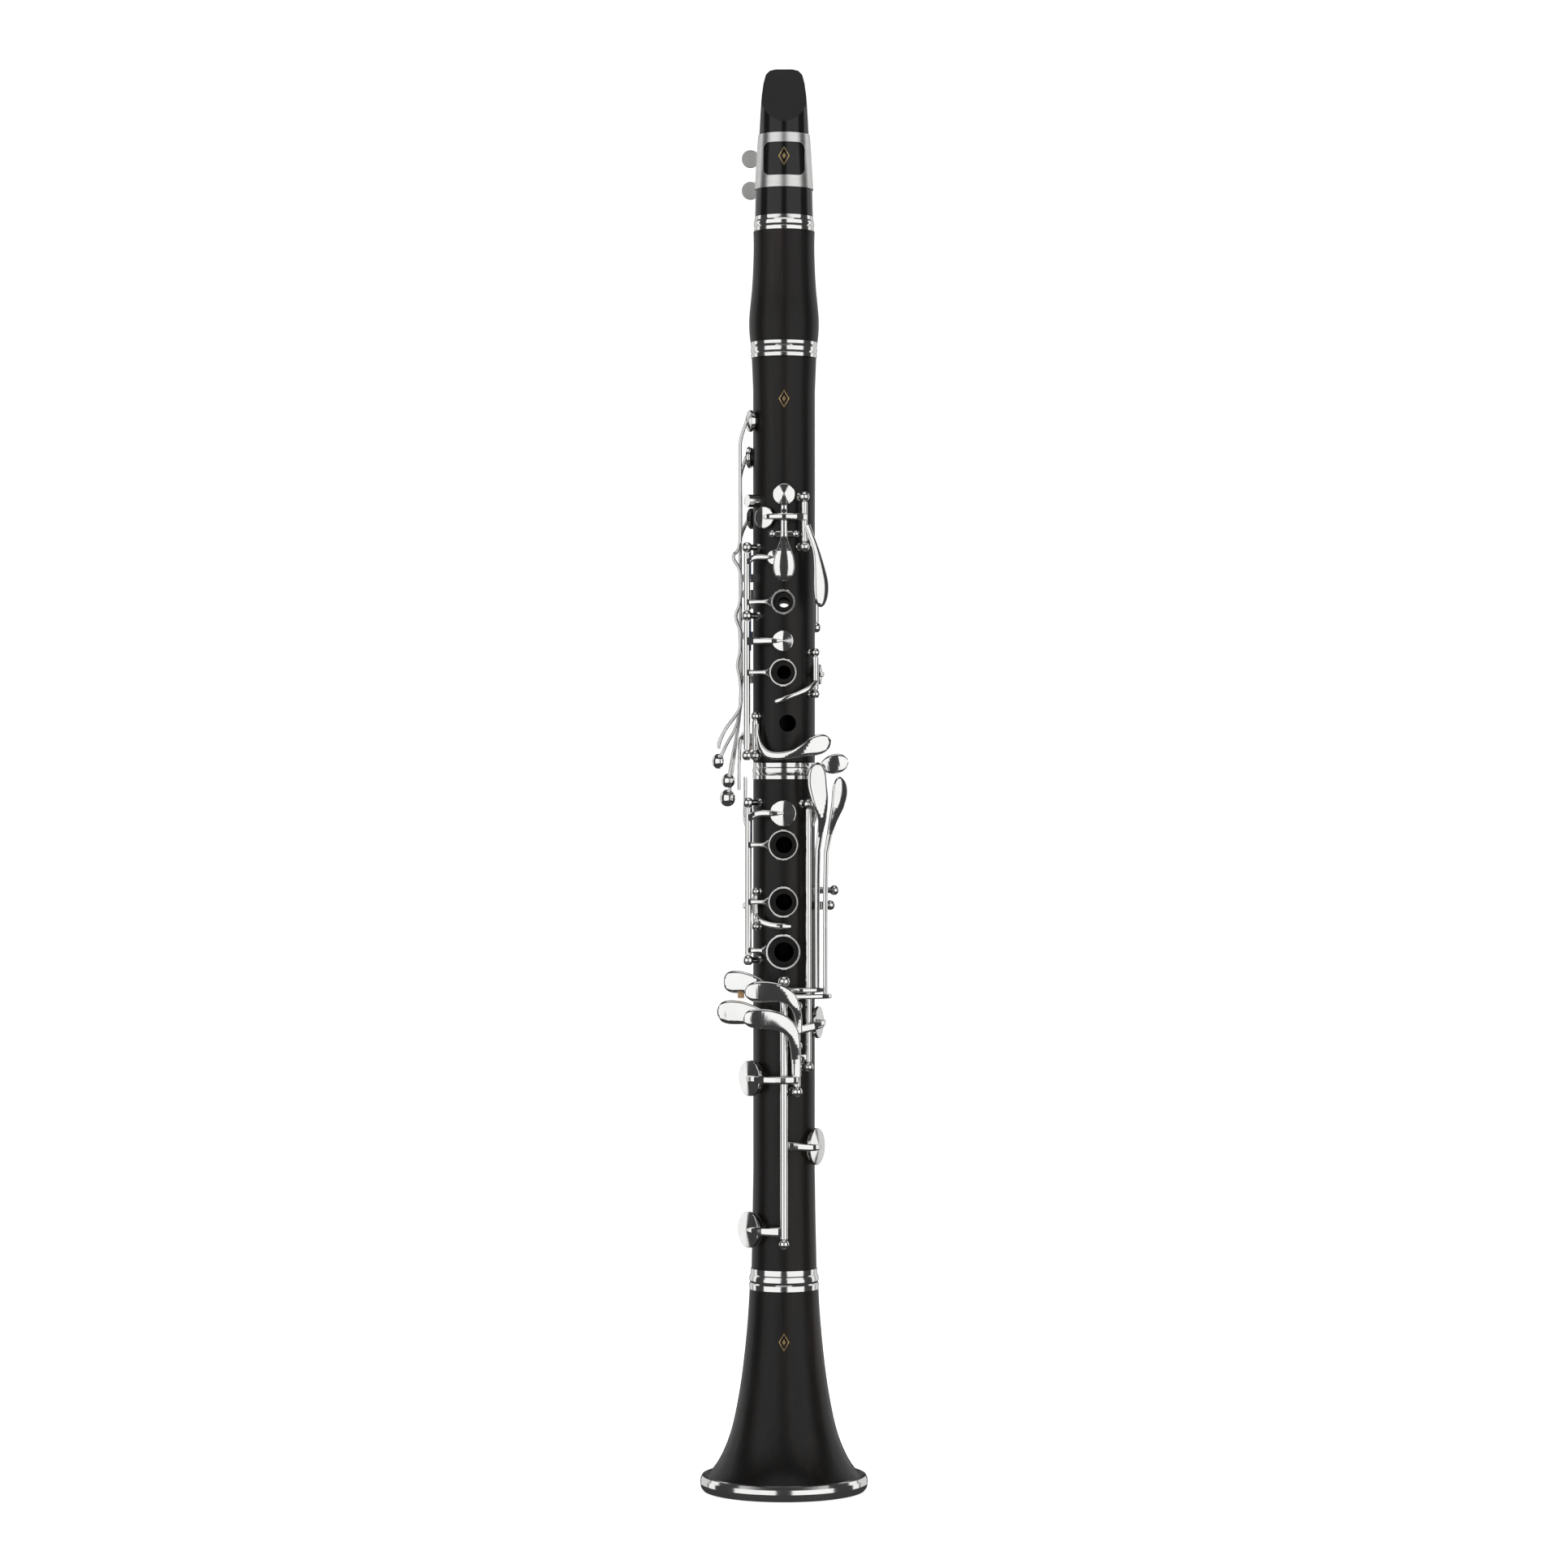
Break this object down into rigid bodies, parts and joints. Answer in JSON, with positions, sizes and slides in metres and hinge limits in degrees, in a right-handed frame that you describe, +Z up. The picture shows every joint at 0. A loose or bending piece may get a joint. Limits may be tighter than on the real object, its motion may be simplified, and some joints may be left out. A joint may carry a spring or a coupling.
{
  "type": "soprano clarinet",
  "caption": "Wooden soprano clarinet standing on its bell: sprung keys and finger rings on posts, mouthpiece with reed and ligature, and sections that pull apart at cork-lined tenons.",
  "frame": {"origin": "centre of the bell's mouth, on the plane of the bell rim that the instrument stands on", "axes": "+Z up the bore from the bell to the mouthpiece, -Y the front with the finger holes, +X to the right as seen from the front"},
  "size_m": [0.077, 0.077, 0.6534],
  "materials": {
    "grenadilla": "satin dark grenadilla with fine grain",
    "ebonite": "polished hard rubber",
    "ring_silver": "polished silver plate",
    "key_silver": "mirror silver plate",
    "ligature_silver": "satin silver plate",
    "cork": "tan tenon cork",
    "cane": "raw cane",
    "pad_skin": "skin-covered felt",
    "rod_steel": "turned steel",
    "spring_steel": "blued steel"
  },
  "bodies": {
    "lower_joint": {"lower_joint_body": "grenadilla", "middle_socket_ring": "ring_silver", "lower_tenon_cork": "cork", "lower_joint_posts": "key_silver", "lower_pivot_rods": "rod_steel", "lower_needle_springs": "spring_steel", "thumb_rest": "ring_silver", "thumb_rest_screws": "rod_steel"},
    "bell": {"bell": "grenadilla", "bell_socket_ring": "ring_silver", "bell_rim_ring": "ring_silver"},
    "upper_joint": {"upper_joint_body": "grenadilla", "upper_joint_corks": "cork", "thumb_and_register_tubes": "ring_silver", "upper_joint_posts": "key_silver", "upper_pivot_rods": "rod_steel", "upper_needle_springs": "spring_steel"},
    "barrel": {"barrel": "grenadilla", "barrel_rings": "ring_silver"},
    "mouthpiece": {"mouthpiece": "ebonite", "mouthpiece_cork": "cork", "reed": "cane", "ligature": "ligature_silver"},
    "ligature_screw_upper": {"ligature_screw_upper": "ligature_silver"},
    "ligature_screw_lower": {"ligature_screw_lower": "ligature_silver"},
    "register_key": {"register_key": "key_silver", "register_pad": "pad_skin"},
    "throat_a_key": {"throat_a_key": "key_silver", "throat_a_pad": "pad_skin"},
    "throat_g_sharp_key": {"throat_g_sharp_key": "key_silver", "throat_g_sharp_pad": "pad_skin"},
    "trill_key_1": {"trill_key_1": "key_silver"},
    "trill_key_2": {"trill_key_2": "key_silver"},
    "trill_key_3": {"trill_key_3": "key_silver"},
    "trill_key_4": {"trill_key_4": "key_silver"},
    "upper_ring_key": {"upper_ring_key": "key_silver", "upper_ring_pad": "pad_skin"},
    "bridge_ring_key": {"bridge_ring_key": "key_silver", "bridge_ring_pad": "pad_skin"},
    "thumb_ring_key": {"thumb_ring_key": "key_silver", "thumb_ring_pad": "pad_skin"},
    "c_sharp_key": {"c_sharp_key": "key_silver", "c_sharp_pad": "pad_skin"},
    "e_flat_key": {"e_flat_key": "key_silver", "e_flat_pad": "pad_skin"},
    "lower_ring_key": {"lower_ring_key": "key_silver", "lower_ring_pad": "pad_skin"},
    "b_key": {"b_key": "key_silver", "b_pad": "pad_skin"},
    "f_sharp_lever": {"f_sharp_lever": "key_silver"},
    "e_lever": {"e_lever": "key_silver"},
    "f_lever": {"f_lever": "key_silver"},
    "f_sharp_key": {"f_sharp_key": "key_silver", "f_sharp_pad": "pad_skin"},
    "a_flat_key": {"a_flat_key": "key_silver", "a_flat_pad": "pad_skin"},
    "e_key": {"e_key": "key_silver", "e_pad": "pad_skin"},
    "f_key": {"f_key": "key_silver", "f_pad": "pad_skin"}
  },
  "joints": [
    {"name": "bell_pull_off", "type": "slide", "parent": "lower_joint", "child": "bell", "axis": [0, 0, -1], "range_m": [0, 0.022]},
    {"name": "upper_joint_pull_off", "type": "slide", "parent": "lower_joint", "child": "upper_joint", "axis": [0, 0, 1], "range_m": [0, 0.022]},
    {"name": "barrel_pull_off", "type": "slide", "parent": "upper_joint", "child": "barrel", "axis": [0, 0, 1], "range_m": [0, 0.022]},
    {"name": "mouthpiece_pull_off", "type": "slide", "parent": "barrel", "child": "mouthpiece", "axis": [0, 0, 1], "range_m": [0, 0.022]},
    {"name": "ligature_screw_upper_turn", "type": "hinge", "parent": "mouthpiece", "child": "ligature_screw_upper", "pos_m": [0, 0.0166, 0.6131], "axis": [1, 0, 0], "continuous": true},
    {"name": "ligature_screw_lower_turn", "type": "hinge", "parent": "mouthpiece", "child": "ligature_screw_lower", "pos_m": [0, 0.0166, 0.5984], "axis": [1, 0, 0], "continuous": true},
    {"name": "register_key_press", "type": "hinge", "parent": "upper_joint", "child": "register_key", "pos_m": [0, 0.0174, 0.451], "axis": [-1, 0, 0], "range_deg": [0, 4], "stiffness_Nm_per_rad": 0.02, "springref_deg": -17.19},
    {"name": "throat_a_key_press", "type": "hinge", "parent": "upper_joint", "child": "throat_a_key", "pos_m": [0, -0.0185, 0.4376], "axis": [1, 0, 0], "range_deg": [0, 4], "stiffness_Nm_per_rad": 0.02, "springref_deg": -17.19},
    {"name": "throat_g_sharp_key_press", "type": "hinge", "parent": "upper_joint", "child": "throat_g_sharp_key", "pos_m": [0.00925, -0.01602, 0.443], "axis": [0, 0, 1], "range_deg": [0, 5], "stiffness_Nm_per_rad": 0.02, "springref_deg": -17.19},
    {"name": "trill_key_1_press", "type": "hinge", "parent": "upper_joint", "child": "trill_key_1", "pos_m": [-0.0174, 0.008, 0.372], "axis": [0, -1, 0], "range_deg": [0, 2.2], "stiffness_Nm_per_rad": 0.02, "springref_deg": -17.19},
    {"name": "trill_key_2_press", "type": "hinge", "parent": "upper_joint", "child": "trill_key_2", "pos_m": [-0.0174, 0.0037, 0.392], "axis": [0, -1, 0], "range_deg": [0, 2], "stiffness_Nm_per_rad": 0.02, "springref_deg": -17.19},
    {"name": "trill_key_3_press", "type": "hinge", "parent": "upper_joint", "child": "trill_key_3", "pos_m": [-0.0174, -0.0006, 0.411], "axis": [0, -1, 0], "range_deg": [0, 1.8], "stiffness_Nm_per_rad": 0.02, "springref_deg": -17.19},
    {"name": "trill_key_4_press", "type": "hinge", "parent": "upper_joint", "child": "trill_key_4", "pos_m": [-0.0174, -0.0049, 0.418], "axis": [0, -1, 0], "range_deg": [0, 1.8], "stiffness_Nm_per_rad": 0.02, "springref_deg": -17.19},
    {"name": "upper_ring_key_press", "type": "hinge", "parent": "upper_joint", "child": "upper_ring_key", "pos_m": [-0.01691, -0.01228, 0.416], "axis": [0, 0, 1], "range_deg": [0, 5], "stiffness_Nm_per_rad": 0.02, "springref_deg": -17.19},
    {"name": "bridge_ring_key_press", "type": "hinge", "parent": "upper_joint", "child": "bridge_ring_key", "pos_m": [-0.01691, -0.01228, 0.37], "axis": [0, 0, 1], "range_deg": [0, 5.5], "stiffness_Nm_per_rad": 0.02, "springref_deg": -17.19},
    {"name": "thumb_ring_key_press", "type": "hinge", "parent": "upper_joint", "child": "thumb_ring_key", "pos_m": [0.01466, 0.01145, 0.41], "axis": [0, 0, 1], "range_deg": [0, 5], "stiffness_Nm_per_rad": 0.02, "springref_deg": -17.19},
    {"name": "c_sharp_key_press", "type": "hinge", "parent": "upper_joint", "child": "c_sharp_key", "pos_m": [-0.01311, -0.00952, 0.346], "axis": [0, 0, 1], "range_deg": [0, 5.5], "stiffness_Nm_per_rad": 0.02, "springref_deg": -17.19},
    {"name": "e_flat_key_press", "type": "hinge", "parent": "upper_joint", "child": "e_flat_key", "pos_m": [0.01434, -0.01004, 0.374], "axis": [0, 0, -1], "range_deg": [0, 5.5], "stiffness_Nm_per_rad": 0.02, "springref_deg": -17.19},
    {"name": "lower_ring_key_press", "type": "hinge", "parent": "lower_joint", "child": "lower_ring_key", "pos_m": [-0.01632, -0.01322, 0.28], "axis": [0, 0, 1], "range_deg": [0, 5.5], "stiffness_Nm_per_rad": 0.02, "springref_deg": -17.19},
    {"name": "b_key_press", "type": "hinge", "parent": "lower_joint", "child": "b_key", "pos_m": [-0.01282, -0.01038, 0.267], "axis": [0, 0, 1], "range_deg": [0, 6], "stiffness_Nm_per_rad": 0.02, "springref_deg": -17.19},
    {"name": "f_sharp_lever_press", "type": "hinge", "parent": "lower_joint", "child": "f_sharp_lever", "pos_m": [0.01313, -0.01142, 0.275], "axis": [-0.6561, -0.7547, 0], "range_deg": [0, 3], "stiffness_Nm_per_rad": 0.02, "springref_deg": -17.19},
    {"name": "e_lever_press", "type": "hinge", "parent": "lower_joint", "child": "e_lever", "pos_m": [0.01663, -0.0096, 0.2682], "axis": [-0.5, -0.866, 0], "range_deg": [0, 4], "stiffness_Nm_per_rad": 0.02, "springref_deg": -17.19},
    {"name": "f_lever_press", "type": "hinge", "parent": "lower_joint", "child": "f_lever", "pos_m": [0.01105, -0.01521, 0.255], "axis": [0, 0, 1], "range_deg": [0, 5.5], "stiffness_Nm_per_rad": 0.02, "springref_deg": -17.19},
    {"name": "f_sharp_key_press", "type": "hinge", "parent": "lower_joint", "child": "f_sharp_key", "pos_m": [0, -0.017, 0.19], "axis": [0, 0, -1], "range_deg": [0, 7], "stiffness_Nm_per_rad": 0.02, "springref_deg": -17.19},
    {"name": "a_flat_key_press", "type": "hinge", "parent": "lower_joint", "child": "a_flat_key", "pos_m": [0.006, -0.02012, 0.214], "axis": [0, 0, -1], "range_deg": [0, 7], "stiffness_Nm_per_rad": 0.02, "springref_deg": -17.19},
    {"name": "e_key_press", "type": "hinge", "parent": "lower_joint", "child": "e_key", "pos_m": [0, -0.0215, 0.17], "axis": [0, 0, -1], "range_deg": [0, 7.4], "stiffness_Nm_per_rad": 0.02, "springref_deg": -17.19},
    {"name": "f_key_press", "type": "hinge", "parent": "lower_joint", "child": "f_key", "pos_m": [0.006, -0.02012, 0.194], "axis": [0, 0, -1], "range_deg": [0, 7], "stiffness_Nm_per_rad": 0.02, "springref_deg": -17.19}
  ],
  "couplings": [
    {"joint": "e_lever_press", "follows": "e_key_press", "ratio": 0.54054},
    {"joint": "f_sharp_lever_press", "follows": "f_sharp_key_press", "ratio": 0.42857},
    {"joint": "f_lever_press", "follows": "f_key_press", "ratio": 0.78571},
    {"joint": "bridge_ring_key_press", "follows": "lower_ring_key_press", "ratio": 1}
  ]
}
